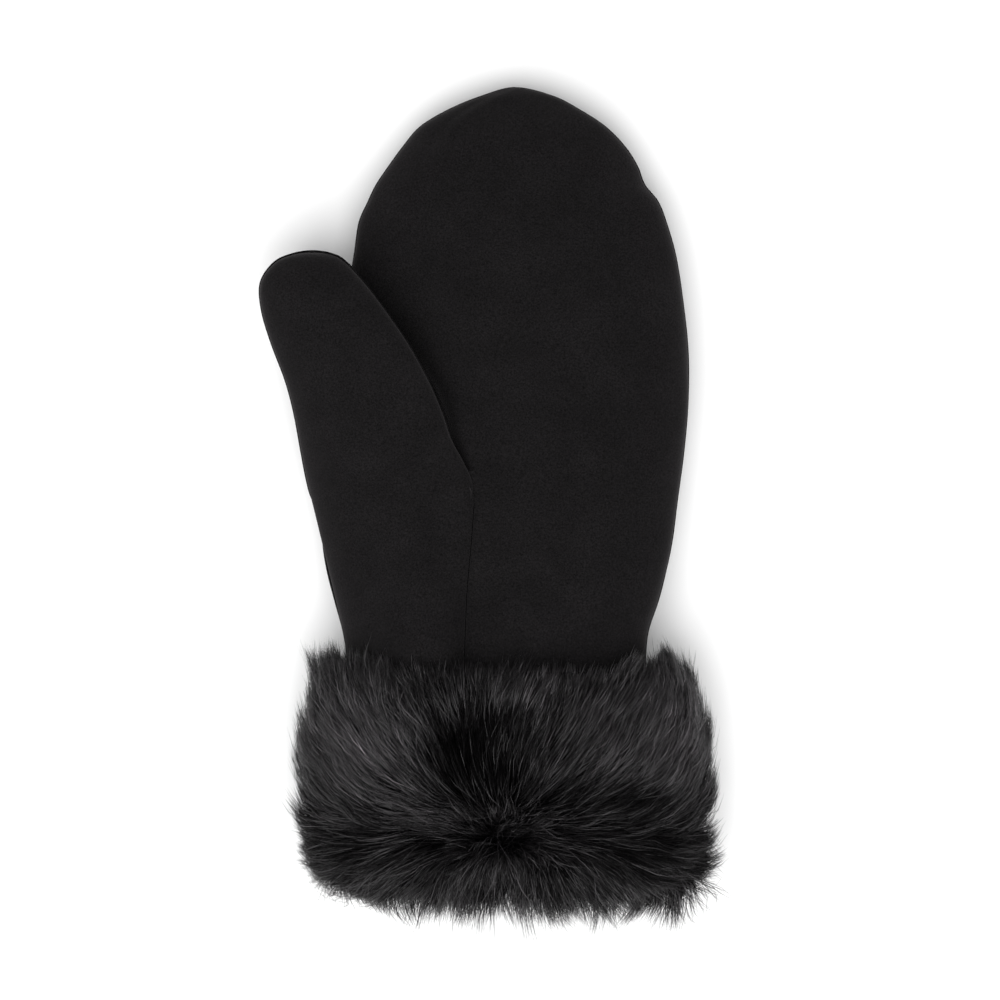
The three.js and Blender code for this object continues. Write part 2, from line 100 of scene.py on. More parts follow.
# along, how far outside the hand, width, left seam, right seam, over, under, how much it is sewn down
thumbRibs = [
    (0.0, 0.0, 0.793, 0.6, 1.1, 0.47, 0.18, 1),
    (0.1, 0.0, 0.825, 0.575, 1.1, 0.48, 0.18, 1),
    (0.27, 0.005, 0.955, 0.51, 1.05, 0.5, 0.18, 1),
    (0.35, 0.055, 1.055, 0.5, 1.02, 0.51, 0.18, 1),
    (0.435, 0.116, 1.111, 0.58, 1.0, 0.52, 0.24, 0.6),
    (0.51, 0.16, 1.04, 0.64, 1.01, 0.52, 0.36, 0.12),
    (0.6, 0.22, 1.0, 0.7, 1.03, 0.51, 0.44, 0),
    (0.68, 0.305, 0.963, 0.74, 1.05, 0.5, 0.47, 0),
    (0.77, 0.438, 0.92, 0.76, 1.05, 0.5, 0.48, 0),
    (0.852, 0.542, 0.833, 0.77, 1.02, 0.47, 0.46, 0),
    (0.92, 0.582, 0.703, 0.78, 0.95, 0.4, 0.4, 0),
    (0.97, 0.517, 0.497, 0.79, 0.88, 0.3, 0.3, 0),
    (0.992, 0.407, 0.28, 0.8, 0.84, 0.18, 0.18, 0),
    (1.0, 0.27, 0.0, 0.81, 0.81, 0, 0, 0),
]

# the two hollows that the thumb lies in: across, along, wide, long, deep
palmHollows = [(-0.34, 0.43, 0.15, 0.1, 0.26), (-0.4, 0.58, 0.19, 0.15, 0.34)]


# points on a smooth curve through the given ones
def alongCurve(points, at):
    points = np.asarray(points, float)
    ends = np.vstack([2 * points[0] - points[1], points, 2 * points[-1] - points[-2]])
    place = np.clip(at, 0, 1) * (len(points) - 1)
    i = np.minimum(place.astype(int), len(points) - 2)
    s = (place - i)[..., None]
    a, b, c, d = ends[i], ends[i + 1], ends[i + 2], ends[i + 3]
    m, n = (c - a) / 2, (d - b) / 2
    s2, s3 = s**2, s**3
    return (2 * s3 - 3 * s2 + 1) * b + (s3 - 2 * s2 + s) * m + (3 * s2 - 2 * s3) * c + (s3 - s2) * n


def smoothStep(x, low, high):
    s = np.clip((x - low) / (high - low), 0, 1)
    return s * s * (3 - 2 * s)


# a form between a left and a right seam that meet at its tip
class SeamedForm:
    def __init__(self, ribs):
        # y, left, right, left height, right height, over, under, sewn
        ribs = np.array(ribs, float)
        self.edge = np.vstack([ribs[:, [1, 0, 3]], ribs[:-1][::-1][:, [2, 0, 4]]])
        self.depth = ribs[:, 5:8]
        steps = np.linspace(0, 1, 800)
        self.steps, self.ys = steps, np.maximum.accumulate(alongCurve(self.edge, steps / 2)[:, 1])

    def at(self, t):
        left = alongCurve(self.edge, t / 2)
        right = alongCurve(self.edge, 1 - t / 2)
        over, under, sewn = np.moveaxis(alongCurve(self.depth, t), -1, 0)
        return left, right, np.maximum(over, 0), np.maximum(under, 0), np.clip(sewn, 0, 1)

    def shareAt(self, y):
        return np.interp(y, self.ys, self.steps)


def hollowAt(x, y):
    deep = 0
    for across, along, wide, long, depth in palmHollows:
        far = ((x / hand["width"] - across) / wide) ** 2 + ((y / hand["length"] - along) / long) ** 2
        deep = deep + depth * hand["height"] * np.exp(-far)
    return deep


# ribs in millimetres, with one more where the suede ends inside the fur
def formOf(ribRows):
    return SeamedForm([[-hand["tuck"]] + ribRows[0][1:]] + ribRows)


width, height = hand["width"], hand["height"]
handForm = formOf([
    [along * hand["length"], left * width, right * width, seam * height, seam * height,
     over * height, under * height, 0]
    for along, left, right, seam, over, under in handRibs
])


def palmHeight(x, y):
    left, right, over, _, _ = handForm.at(handForm.shareAt(y))
    half = (right[..., 0] - left[..., 0]) / 2
    across = np.clip((x - left[..., 0]) / half - 1, -1, 1)
    return left[..., 2] + (over - hollowAt(x, y)) * np.sqrt(1 - across**2) ** hand["round"]


ribRows = []
for along, out, wide, leftHigh, rightHigh, over, under, sewn in thumbRibs:
    y = np.array(along * thumb["reach"])
    beside = handForm.at(handForm.shareAt(y))[0]
    left = beside[0] - out * thumb["width"]
    right = left + wide * thumb["width"]
    leftHigh += (beside[2] / hand["height"] - leftHigh) * sewn
    rightHigh = rightHigh * hand["height"] * (1 - sewn) + (float(palmHeight(right, y)) - thumb["seamSink"]) * sewn
    depths = [over * thumb["height"], under * thumb["height"], sewn]
    ribRows.append([float(y), left, right, leftHigh * hand["height"], rightHigh] + depths)
thumbForm = formOf(ribRows)


# height of the thumb's underside over a place, far up where there is no thumb
def thumbUnderside(x, y):
    left, right, _, under, _ = thumbForm.at(thumbForm.shareAt(y))
    half = np.maximum((right[..., 0] - left[..., 0]) / 2, 0.01)
    across = (x - left[..., 0]) / half - 1
    inside = (np.abs(across) < 1) & (y < thumb["reach"])
    high = left[..., 2] + (right[..., 2] - left[..., 2]) * (1 + across) / 2
    low = high - under * np.sqrt(np.clip(1 - across**2, 0, 1)) ** hand["round"]
    return np.where(inside, low, 1e3)


def toFrame(points):
    return (np.asarray(points).reshape(-1, 3) + shift) / 1000


# mesh helpers

def meshFrom(name, points, faces, material):
    mesh = bpy.data.meshes.new(name)
    mesh.from_pydata([tuple(p) for p in toFrame(points)], [], faces)
    mesh.polygons.foreach_set("use_smooth", [True] * len(mesh.polygons))
    mesh.materials.append(material)
    mesh.validate()
    obj = bpy.data.objects.new(name, mesh)
    bpy.context.scene.collection.objects.link(obj)
    return obj


def gridFaces(rows, columns, flip=False):
    a = (np.arange(rows - 1)[:, None] * columns + np.arange(columns - 1)).ravel()
    quads = np.stack([a, a + 1, a + columns + 1, a + columns], 1)
    return (quads[:, ::-1] if flip else quads).tolist()


def gridNormals(grid, outwards):
    along = np.gradient(grid, axis=0)
    across = np.gradient(grid, axis=1)
    normal = np.cross(across, along) * outwards
    return normal / np.maximum(np.linalg.norm(normal, axis=-1, keepdims=True), 1e-9)


# soft seeded waves over a grid of points, about -1 to 1
def waves(grid, size, seed):
    dice = np.random.default_rng(seed)
    count, total = 14, 0
    for _ in range(count):
        way = dice.normal(size=3)
        way /= np.linalg.norm(way)
        length = size * dice.uniform(0.6, 1.7)
        total = total + np.sin(2 * math.pi * (grid @ way) / length + dice.uniform(0, 6.28))
    return total / math.sqrt(count)


# 0 to 1 with more steps near both ends
def crowdedEnds(count):
    q = np.linspace(0, 1, count)
    return q - 0.72 * np.sin(2 * math.pi * q) / (2 * math.pi)


def newFinish(name):
    m = bpy.data.materials.new(name)
    m.use_nodes = True
    return m, m.node_tree.nodes, m.node_tree.links, m.node_tree.nodes["Principled BSDF"]


# suede

suede = {
    "colour": (0.0055, 0.005, 0.0053),
    "mottle": 0.22,        # how far the colour wanders in patches
    "speckle": 1.0,        # how far it wanders from fibre to fibre
    "roughness": 0.92,
    "specular": 0.06,
    "sheen": 0.1,
    "sheenRoughness": 0.45,
    "sheenTint": (0.62, 0.58, 0.6, 1),
    "patches": 55,         # noise scales: patches, fibres in the colour, fibres in the bump
    "fibres": 1700,
    "napFibres": 1500,
    "nap": 0.35,           # bump of the fibres
    "napDepth": 0.0003,
    "rows": 150,
    "columns": 112,
    "tuckedColumns": 26,   # of these, under the thumb
    "crotchRows": (47, 68, 26),      # more rows where the thumb leaves the palm: from y, to y, how many
    "thumbRows": 90,
    "thumbColumns": 64,
    "foldFreeColumns": 17,           # of these, by the palm seam
    "rimShown": 0.3,       # how far the back panels' edge shows round the front ones
    "thumbRimShown": 0.75,
    "seamDip": 0.7,        # how far the palm seam sinks
    "seamCross": 0.8,      # how far the palm's edge moves over the seam's end under the fur
    "flap": (5.4, 7.0),    # the palm's sewn edge turns down by half of this, then on under the thumb by half of that
    "besideThumb": 5.8,    # how far the palm sinks beside the free thumb
    "rolledEdge": 0.4,     # how far an edge turns in at its seam
    "rimFade": 4.0,
    "rollFade": 0.8,
    "undulation": 0.35,
}

# creases and dents: x, y, length across it, length along it, turned by, depth. Depth under 0 stands up.
palmDents = [
    (-51, 26, 3.0, 9, 62, 0.3),
    (-51, 20, 2.2, 5, 40, -0.4),
    (-44, 13, 3.0, 14, 70, 0.35),
    (40, 22, 5.0, 16, -58, 0.5),
    (-10.6, 51.2, 0.5, 0.9, -48, 0.22),
    (-10.6, 49.6, 0.45, 0.9, -42, 0.2),
]


def pressDents(grid, normal, dents):
    for x, y, wide, long, turned, depth in dents:
        turn = math.radians(turned)
        dx, dy = grid[..., 0] - x, grid[..., 1] - y
        u = dx * math.cos(turn) + dy * math.sin(turn)
        v = -dx * math.sin(turn) + dy * math.cos(turn)
        grid = grid - normal * (depth * np.exp(-((u / long) ** 2) - (v / wide) ** 2))[..., None]
    return grid


# how far each point of a panel is from its left edge and from its right one
def fromEdges(grid):
    steps = np.linalg.norm(np.diff(grid, axis=1), axis=-1)
    far = np.concatenate([np.zeros((len(grid), 1)), np.cumsum(steps, 1)], 1)
    return far, far[:, -1:] - far


# 0 at a panel's left and right edges, 1 from 6 mm inside them
def awayFromEdges(grid):
    return smoothStep(np.minimum(*fromEdges(grid)), 0.3, 6.0)


# moves a panel in from its left and right edges: a rim that fades slowly and a roll that fades fast
def turnEdgesIn(grid, normal, rims, rolls):
    edges = fromEdges(grid)
    moved = 0
    for edge, rim, roll in zip(edges, rims, rolls):
        moved = moved + rim * np.exp(-((edge / suede["rimFade"]) ** 1.5)) + roll * np.exp(-edge / suede["rollFade"])
    room = edges[0][:, -1:] / 4        # less near the tip, where there is little to turn
    return grid - normal * np.minimum(moved, room)[..., None]


# shares for a panel's rows: closer together towards the tip, and over each stretch of y in extra
def rowsAlong(form, count, start=0.0, extra=()):
    t = start + (1 - start) * (1 - (1 - np.linspace(0, 1, count)) ** 1.35)
    for low, high, more in extra:
        t = np.concatenate([t, np.linspace(float(form.shareAt(low)), float(form.shareAt(high)), more)])
    return np.unique(np.round(t, 6))


def panelGrid(form, t, angle, over, hollow=None):
    left, right, overDepth, underDepth, sewn = form.at(t)
    across, up = np.cos(angle), np.abs(np.sin(angle))
    points = left + (right - left) * ((1 + across) / 2)[..., None]
    if over:
        power = np.where(across > 0, hand["round"] + (hand["feathered"] - hand["round"]) * sewn, hand["round"])
        depth = overDepth - (hollow(points[..., 0], points[..., 1]) if hollow else 0)
        points[..., 2] += up**power * depth
    else:
        points[..., 2] -= up ** hand["round"] * underDepth
        points[..., 2] = np.maximum(points[..., 2], 0)
    return points


def suedePanel(name, node, grid, outwards, material):
    rows, columns = grid.shape[:2]
    panel = meshFrom(name, grid, gridFaces(rows, columns, flip=outwards < 0), material)
    bm = bmesh.new()
    bm.from_mesh(panel.data)
    bmesh.ops.remove_doubles(bm, verts=bm.verts, dist=2e-5)
    bm.to_mesh(panel.data)
    bm.free()
    leather = panel.modifiers.new("wall", "SOLIDIFY")
    leather.thickness = hand["wall"] / 1000
    leather.offset = -1
    leather.use_even_offset = False
    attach(panel, "root")
    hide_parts(node)


def makeSuede():
    m, nodes, links, shader = newFinish("suede")
    shader.inputs["Roughness"].default_value = suede["roughness"]
    shader.inputs["Specular IOR Level"].default_value = suede["specular"]
    shader.inputs["Sheen Weight"].default_value = suede["sheen"]
    shader.inputs["Sheen Roughness"].default_value = suede["sheenRoughness"]
    shader.inputs["Sheen Tint"].default_value = suede["sheenTint"]
    place = nodes.new("ShaderNodeTexCoord")

    def noise(scale, detail, roughness):
        n = nodes.new("ShaderNodeTexNoise")
        n.inputs["Scale"].default_value = scale
        n.inputs["Detail"].default_value = detail
        n.inputs["Roughness"].default_value = roughness
        links.new(place.outputs["Object"], n.inputs["Vector"])
        return n.outputs["Fac"]

    def remap(value, low, high, toLow, toHigh):
        n = nodes.new("ShaderNodeMapRange")
        n.inputs["From Min"].default_value, n.inputs["From Max"].default_value = low, high
        n.inputs["To Min"].default_value, n.inputs["To Max"].default_value = toLow, toHigh
        links.new(value, n.inputs["Value"])
        return n.outputs["Result"]

    def times(a, b):
        n = nodes.new("ShaderNodeMath")
        n.operation = "MULTIPLY"
        links.new(a, n.inputs[0])
        links.new(b, n.inputs[1])
        return n.outputs["Value"]

    patches = remap(noise(suede["patches"], 4, 0.6), 0.3, 0.7, 1 - suede["mottle"], 1 + suede["mottle"])
    fibres = remap(noise(suede["fibres"], 4, 0.75), 0.28, 0.72, 1 - suede["speckle"], 1 + suede["speckle"])
    tone = times(patches, fibres)
    colour = nodes.new("ShaderNodeVectorMath")
    colour.operation = "SCALE"
    colour.inputs[0].default_value = suede["colour"]
    links.new(tone, colour.inputs["Scale"])
    links.new(colour.outputs["Vector"], shader.inputs["Base Color"])
    bump = nodes.new("ShaderNodeBump")
    bump.inputs["Strength"].default_value = suede["nap"]
    bump.inputs["Distance"].default_value = suede["napDepth"]
    links.new(noise(suede["napFibres"], 5, 0.75), bump.inputs["Height"])
    links.new(bump.outputs["Normal"], shader.inputs["Normal"])
    return m


suedeFinish = makeSuede()


# the palm seam, which goes straight up from the fur, then the edge of the thumb where it leaves the palm: y and x
seamLine = np.array([
    (-10, -14.4), (0, -14.4), (8, -14.2), (20, -13.7), (29, -13.0), (37, -12.2),
    (49.5, -11.3), (54, -11.5), (59, -12.2), (62.6, -14.0), (67.4, -16.3), (78.5, -20.8),
])


def palmSeam(y):
    return np.interp(y, seamLine[:, 0], seamLine[:, 1])


def backOfHand():
    t = rowsAlong(handForm, suede["rows"])[:, None] + np.zeros(suede["columns"])
    angle = 2 * math.pi - crowdedEnds(suede["columns"])[None, :] * math.pi + np.zeros_like(t)
    grid = panelGrid(handForm, t, angle, over=False)
    grid[..., 2] -= np.minimum(hand["gap"] / 2, grid[..., 2])
    suedePanel("backPanel", "back_panel", grid, 1, suedeFinish)


def palmOfHand():
    t = rowsAlong(handForm, suede["rows"], extra=[suede["crotchRows"]])
    left, right, *_ = handForm.at(t)
    y, leftX, rightX = left[:, 1], left[:, 0], right[:, 0]
    wide = rightX - leftX
    thumbEdge = thumbForm.at(thumbForm.shareAt(y))[1][:, 0] - thumb["overPalm"]
    # a line of the mesh follows the palm seam, then the thumb's edge just under the thumb
    guide = palmSeam(y) + hand["seamGap"]
    # under the fur it crosses the seam, so that nothing is seen along it into the cuff
    guide = guide - suede["seamCross"] * (1 - smoothStep(y, -4, 0.5)) - thumb["overPalm"] * smoothStep(y, 58, 65)
    guide = guide + (np.where(y < thumb["reach"] - 2, thumbEdge, -1e3) - guide) * smoothStep(y, 64, 74)
    guide = np.clip(guide, leftX + 0.03 * wide, rightX - 0.03 * wide)
    turn = np.arccos(np.clip(2 * (guide - leftX) / np.maximum(wide, 1e-6) - 1, -1, 1))
    tucked = suede["tuckedColumns"]
    shown = suede["columns"] - tucked
    # past the thumb's tip the columns are even again
    past = smoothStep(y, thumb["reach"] - 16, thumb["reach"] - 6)
    turn = turn + (math.pi * shown / suede["columns"] - turn) * past
    angle = crowdedEnds(shown)[None, :] * turn[:, None]
    beyond = turn[:, None] + (math.pi - turn[:, None]) * crowdedEnds(tucked + 1)[None, 1:]
    t = t[:, None]
    grid = panelGrid(handForm, t + np.zeros(shown), angle, over=True, hollow=hollowAt)
    hidden = panelGrid(handForm, t + np.zeros(tucked), beyond, over=True, hollow=hollowAt)
    normal = gridNormals(grid, -1)
    inside = awayFromEdges(grid)
    grid = grid + normal * (suede["undulation"] * inside * waves(grid, 42, 3))[..., None]
    grid = pressDents(grid, normal * inside[..., None], palmDents)
    rim, roll = suede["rimShown"], suede["rolledEdge"]
    sewn = (smoothStep(y, -4, -1) - smoothStep(y, 57, 61))[:, None]
    # beside the free thumb the palm sinks away under it
    beside = suede["besideThumb"] * (smoothStep(y, 59, 64) * (1 - smoothStep(y, 84, 116)))[:, None]
    grid = turnEdgesIn(grid, normal, (rim, beside), (roll, suede["seamDip"] * sewn))
    # under the thumb the palm gives way to it; where the thumb is sewn on, the edge turns down and on under its wall
    under = thumbUnderside(hidden[..., 0], hidden[..., 1]) - thumb["clearance"]
    sideHigh = left[:, None, 2]
    hidden[..., 2] = np.maximum(np.minimum(hidden[..., 2], under), sideHigh)
    step = np.linspace(0, 1, tucked + 1)[None, 1:, None]
    down, on = suede["flap"]
    turnedDown = grid[:, -1:] + np.minimum(step, 0.5) * [0, 0, -down] + np.maximum(step - 0.5, 0) * [-on, 0, 0]
    hidden = turnedDown + (hidden - turnedDown) * smoothStep(y, 58, 64)[:, None, None]
    grid = np.concatenate([grid, hidden], 1)
    past = (smoothStep(y, thumb["reach"] - 6, thumb["reach"] + 2) * smoothStep(wide, 6, 24))[:, None]
    grid = turnEdgesIn(grid, gridNormals(grid, -1), (0, rim * past), (0, roll * past))
    grid[..., 2] += hand["gap"] / 2
    suedePanel("palmPanel", "palm_panel", grid, -1, suedeFinish)


def frontOfThumb():
    columns = suede["thumbColumns"]
    t = rowsAlong(thumbForm, suede["thumbRows"])[:, None] + np.zeros(columns)
    angle = crowdedEnds(columns)[None, :] * math.pi + np.zeros_like(t)
    grid = panelGrid(thumbForm, t, angle, over=True)
    normal = gridNormals(grid, -1)
    inside = awayFromEdges(grid)
    grid = grid + normal * (suede["undulation"] * inside * waves(grid, 34, 8))[..., None]
    grid = pressDents(grid, normal * inside[..., None], palmDents)
    sewn = thumbForm.at(t[:, :1])[4]
    tip = smoothStep(t[:, :1], 0.72, 0.9)
    rim = suede["rimShown"] + (suede["thumbRimShown"] - suede["rimShown"]) * tip
    roll = suede["rolledEdge"]
    grid = turnEdgesIn(grid, normal, (rim * (1 - sewn), rim), (roll * (1 - sewn) + suede["seamDip"] * sewn, roll))
    # the right edge runs down without a fold and keeps to the palm seam up to where the thumb leaves the palm
    for k in reversed(range(suede["foldFreeColumns"])):
        grid[:, k, 2] = np.minimum(grid[:, k, 2], grid[:, k + 1, 2] - 0.012)
    byEdge = smoothStep(np.cos(angle), 0.55, 0.98) * (1 - smoothStep(grid[..., 1], 64, 74))
    grid[..., 0] += (palmSeam(grid[..., 1]) - hand["seamGap"] - grid[:, :1, 0]) * byEdge
    grid[..., 2] += hand["gap"] / 2
    suedePanel("thumbFrontPanel", "thumb_front_panel", grid, -1, suedeFinish)


def backOfThumb():
    columns = suede["thumbColumns"]
    start = float(thumbForm.shareAt(thumb["backFrom"]))
    t = rowsAlong(thumbForm, suede["thumbRows"], start=start)[:, None] + np.zeros(columns)
    angle = 2 * math.pi - crowdedEnds(columns)[None, :] * math.pi + np.zeros_like(t)
    grid = panelGrid(thumbForm, t, angle, over=False)
    grid[..., 2] -= hand["gap"] / 2
    # sewn in under the hand's side seam at its foot
    sewn = thumbForm.at(t)[4]
    middle = grid.mean(1, keepdims=True)
    grid += (middle - grid) * (0.03 * smoothStep(sewn, 0.75, 1))[..., None]
    suedePanel("thumbBackPanel", "thumb_back_panel", grid, 1, suedeFinish)


backOfHand()
palmOfHand()
frontOfThumb()
backOfThumb()
print("suede panels made")


# the fur cuff

fur = {
    "length": 86.0,        # from the suede to the mouth
    "width": 136.0,
    "height": 58.0,
    "skinDepth": 7.0,      # the skin lies this far inside the pile
    "edge": 0.06,          # share of the length that the suede shows through
    "edgeMore": 0.036,     # and this much more right of the middle
    "ends": (0.03, 0.88),  # shares of the length between which hairs keep to the pile
    "lowest": 0.35,        # no hair is nearer to the floor
    "strandLength": 20.0,
    "strandWidth": 0.19,
    "taper": (0.9, 1.0, 0.75),
    "guard": 0.11,         # share of the hairs that are paler, straighter and thicker
    "guardWidth": 1.35,
    "parting": (-0.02, 0.69, 0.08, 0.07, 3.0),      # across, along, wide, long, how much denser
    "lieReach": (0.062, 0.06),       # how far across and along a given lie counts
    "underFan": 24,        # degrees that the fur under the mitten spreads by
    "underParting": 0.62,
    "stray": 0.045,
    # how strongly the painted shade and sheen places show
    "shadeAndSheenStrength": 2.6,
    # the roots are painted darker than the tips, as painted shade deep in the pile
    "rootShadeColour": (0.003, 0.0027, 0.0032),
    "tipColour": (0.0125, 0.0112, 0.0121),
    "roughness": 0.4,
    # copies of the fur that differ only in gloss; the strand's tone picks one, so random dark and pale hairs and
    # also the painted shade and sheen places get less or more gloss
    "gloss": {"furDeep": 0.04, "furPlain": 0.2, "furSheen": 0.75},
    "glossFrom": [0.7, 1.5],      # tones at which the next gloss begins
}

# along, left, right, seam height, over, under
cuffRibs = np.array([
    (0.02, -0.415, 0.365, 0.41, 0.33, 0.28),
    (0.07, -0.437, 0.4, 0.395, 0.43, 0.34),
    (0.16, -0.464, 0.441, 0.385, 0.51, 0.39),
    (0.32, -0.482, 0.465, 0.38, 0.565, 0.41),
    (0.5, -0.488, 0.478, 0.375, 0.58, 0.41),
    (0.66, -0.485, 0.485, 0.375, 0.56, 0.41),
    (0.78, -0.465, 0.47, 0.385, 0.5, 0.4),
    (0.86, -0.425, 0.43, 0.395, 0.41, 0.36),
    (0.9, -0.38, 0.395, 0.4, 0.34, 0.33),
])

# dips in the pile: across, along, wide, long, deep
pileDips = [(-0.02, 0.67, 0.26, 0.08, 0.05), (-0.1, 0.38, 0.09, 0.14, 0.08)]

# the way the upper pile lies: across, along, degrees from +x towards +y
furLie = np.array([
    (-0.45, 0.08, 103), (-0.337, 0.08, 105), (-0.187, 0.08, 98), (-0.036, 0.08, 80), (0.115, 0.09, 70),
    (0.266, 0.09, 70), (0.40, 0.08, 82), (-0.48, 0.24, 108), (-0.337, 0.24, 112), (-0.262, 0.22, 108),
    (-0.11, 0.24, 96), (0.04, 0.24, 68), (0.19, 0.24, 62), (0.303, 0.24, 66), (0.454, 0.24, 80),
    (-0.49, 0.38, 122), (-0.375, 0.4, 114), (-0.262, 0.38, 112), (-0.13, 0.38, 100), (-0.02, 0.4, 78),
    (0.1, 0.38, 62), (0.19, 0.4, 45), (0.26, 0.38, 95), (0.34, 0.4, 58), (0.454, 0.38, 72),
    (-0.50, 0.5, 130), (-0.41, 0.51, 120), (-0.31, 0.52, 117), (-0.21, 0.53, 124), (-0.12, 0.54, 132),
    (-0.03, 0.52, 110), (0.04, 0.53, 58), (0.13, 0.52, 40), (0.23, 0.5, 30), (0.34, 0.52, 50), (0.47, 0.5, 52),
    (-0.47, 0.62, 156), (-0.34, 0.62, 146), (-0.22, 0.61, 162), (-0.1, 0.6, 160), (-0.01, 0.61, 75),
    (0.1, 0.6, 18), (0.22, 0.62, 18), (0.34, 0.62, 42), (0.47, 0.62, 32),
    (-0.45, 0.74, -168), (-0.34, 0.73, -162), (-0.24, 0.71, -176), (-0.14, 0.7, 178), (-0.06, 0.69, 168),
    (0.04, 0.69, 14), (0.14, 0.7, 0), (0.25, 0.7, 2), (0.36, 0.72, 14), (0.47, 0.74, 4),
    (-0.44, 0.79, -160), (-0.3, 0.79, -150), (-0.18, 0.79, -128), (-0.08, 0.79, -105), (0.0, 0.79, -88),
    (0.1, 0.79, -62), (0.2, 0.79, -38), (0.32, 0.79, -26), (0.46, 0.79, -32),
    (-0.44, 0.86, -150), (-0.34, 0.86, -134), (-0.24, 0.86, -118), (-0.13, 0.86, -104), (-0.02, 0.86, -90),
    (0.1, 0.86, -74), (0.22, 0.86, -52), (0.34, 0.86, -50), (0.45, 0.86, -50),
])

# painted shade and painted sheen in the upper pile: darker places stand in for shade in its hollows and parting,
# paler ones for sheen; across, along, wide, long, tone
furShadeAndSheen = [
    (-0.11, 0.31, 0.11, 0.17, -0.75), (-0.05, 0.42, 0.12, 0.07, -0.4), (-0.03, 0.72, 0.12, 0.06, -0.35),
    (0.18, 0.54, 0.2, 0.06, -0.45), (-0.36, 0.3, 0.15, 0.2, 0.6), (-0.33, 0.42, 0.1, 0.1, 0.25),
    (0.2, 0.2, 0.16, 0.14, 0.2), (0.25, 0.38, 0.06, 0.07, 0.4), (0.42, 0.34, 0.1, 0.2, 0.6),
    (-0.17, 0.6, 0.13, 0.05, 0.4), (0.33, 0.76, 0.16, 0.14, -0.6), (-0.4, 0.75, 0.13, 0.12, -0.4),
    (0.3, 0.53, 0.07, 0.06, -0.3), (0.0, 0.12, 0.3, 0.06, 0.15), (-0.04, 0.88, 0.16, 0.08, -0.15),
]


# where the fur begins beside the suede, as a share of its length
def furEdge(angle):
    top = smoothStep(np.sin(angle), 0.1, 0.5)
    across = np.cos(angle)
    return fur["edge"] + fur["edgeMore"] * smoothStep(across, -0.5, 0.3) * (1 - smoothStep(across, 0.5, 0.7)) * top


# left, right, seam height, over and under of the pile, in millimetres
def pileSize(along):
    share = np.interp(along, cuffRibs[:, 0], np.linspace(0, 1, len(cuffRibs)))
    _, left, right, seam, over, under = np.moveaxis(alongCurve(cuffRibs, share), -1, 0)
    width, height = fur["width"], fur["height"]
    return left * width, right * width, seam * height, over * height, under * height


# a point of the pile's outer face, or as deep under it as said
def pilePoint(along, angle, depth=0.0):
    left, right, seam, over, under = pileSize(along)
    middle, half = (left + right) / 2, (right - left) / 2 - depth
    up = np.sin(angle)
    x = middle + half * np.cos(angle)
    y = -along * fur["length"]
    rise = np.where(up > 0, over, under) - depth
    z = seam + np.sign(up) * rise * np.abs(up) ** hand["round"]
    for across, dipAlong, wide, long, deep in pileDips:
        far = ((x / fur["width"] - across) / wide) ** 2 + ((along - dipAlong) / long) ** 2
        z = z - np.where(up > 0, deep * fur["height"] * np.exp(-far), 0)
    return np.stack([x, y + np.zeros_like(x), np.maximum(z, 0.4)], -1)


# the outward normal of the pile
def pileWay(along, angle):
    step = 0.01
    run = pilePoint(along + step, angle) - pilePoint(along - step, angle)
    turn = pilePoint(along, angle + step) - pilePoint(along, angle - step)
    out = np.cross(turn, run)
    # under the mitten the pile is pressed flat, so there it points down
    out = np.where(np.linalg.norm(out, axis=-1, keepdims=True) < 1e-6, np.array([0, 0, -1.0]), out)
    return out / np.linalg.norm(out, axis=-1, keepdims=True)


# where on the pile a point lies: along and angle
def placeOn(points):
    along = np.clip(-points[:, 1] / fur["length"], *fur["ends"])
    left, right, seam, over, under = pileSize(along)
    across = np.clip((points[:, 0] - (left + right) / 2) / ((right - left) / 2), -1, 1)
    up = points[:, 2] - seam
    high = np.clip(np.abs(up) / np.where(up > 0, over, under), 0, 1) ** (1 / hand["round"])
    return along, np.arctan2(np.sign(up) * high, across)


# the way the fur lies at some points, flat in plan, and how far the given lies agree there
def lieOf(points, angle):
    across = points[:, 0] / fur["width"]
    along = -points[:, 1] / fur["length"]
    wide, long = fur["lieReach"]
    far = ((across[:, None] - furLie[:, 0]) / wide) ** 2 + ((along[:, None] - furLie[:, 1]) / long) ** 2
    weight = np.exp(-far / 2) + 1e-9
    turn = np.radians(furLie[:, 2])
    top = np.stack([weight @ np.cos(turn), weight @ np.sin(turn)], 1) / weight.sum(1, keepdims=True)
    agreed = np.clip(np.linalg.norm(top, axis=1), 1e-3, 1)      # low at a whorl or a parting
    top /= agreed[:, None]
    fan = np.radians(90 - across * fur["underFan"])
    down = along > fur["underParting"]
    below = np.stack([np.cos(fan), np.where(down, -1, 1) * np.sin(fan)], 1)
    share = smoothStep(np.sin(angle), -0.35, 0.1)[:, None]
    lie = below + (top - below) * share
    lie /= np.maximum(np.linalg.norm(lie, axis=1, keepdims=True), 1e-6)
    return np.concatenate([lie, np.zeros((len(lie), 1))], 1), np.where(np.sin(angle) > 0, agreed, 1)


# roots spread evenly by area over the part of the pile that where() wants
def scatterRoots(count, where, seed):
    dice = np.random.default_rng(seed)
    alongs, angles = np.meshgrid(np.linspace(0.035, 0.885, 80), np.linspace(0, 2 * math.pi, 181)[:-1], indexing="ij")
    spots = pilePoint(alongs, angles)
    size = np.linalg.norm(np.cross(np.gradient(spots, axis=0), np.gradient(spots, axis=1)), axis=-1)
    # the fur stands denser in its parting, where all hairs lie away from it
    across, partAlong, wide, long, denser = fur["parting"]
    far = ((np.cos(angles) / 2 - across) / wide) ** 2 + ((alongs - partAlong) / long) ** 2
    size = size * (1 + denser * np.exp(-far) * (np.sin(angles) > 0))
    weight = (size * where(alongs, angles) * (alongs > furEdge(angles))).ravel()
    pick = dice.choice(weight.size, count, p=weight / weight.sum())
    along = alongs.ravel()[pick] + dice.uniform(-0.5, 0.5, count) * 0.85 / 79
    angle = angles.ravel()[pick] + dice.uniform(-0.5, 0.5, count) * 2 * math.pi / 180
    return along, angle, dice


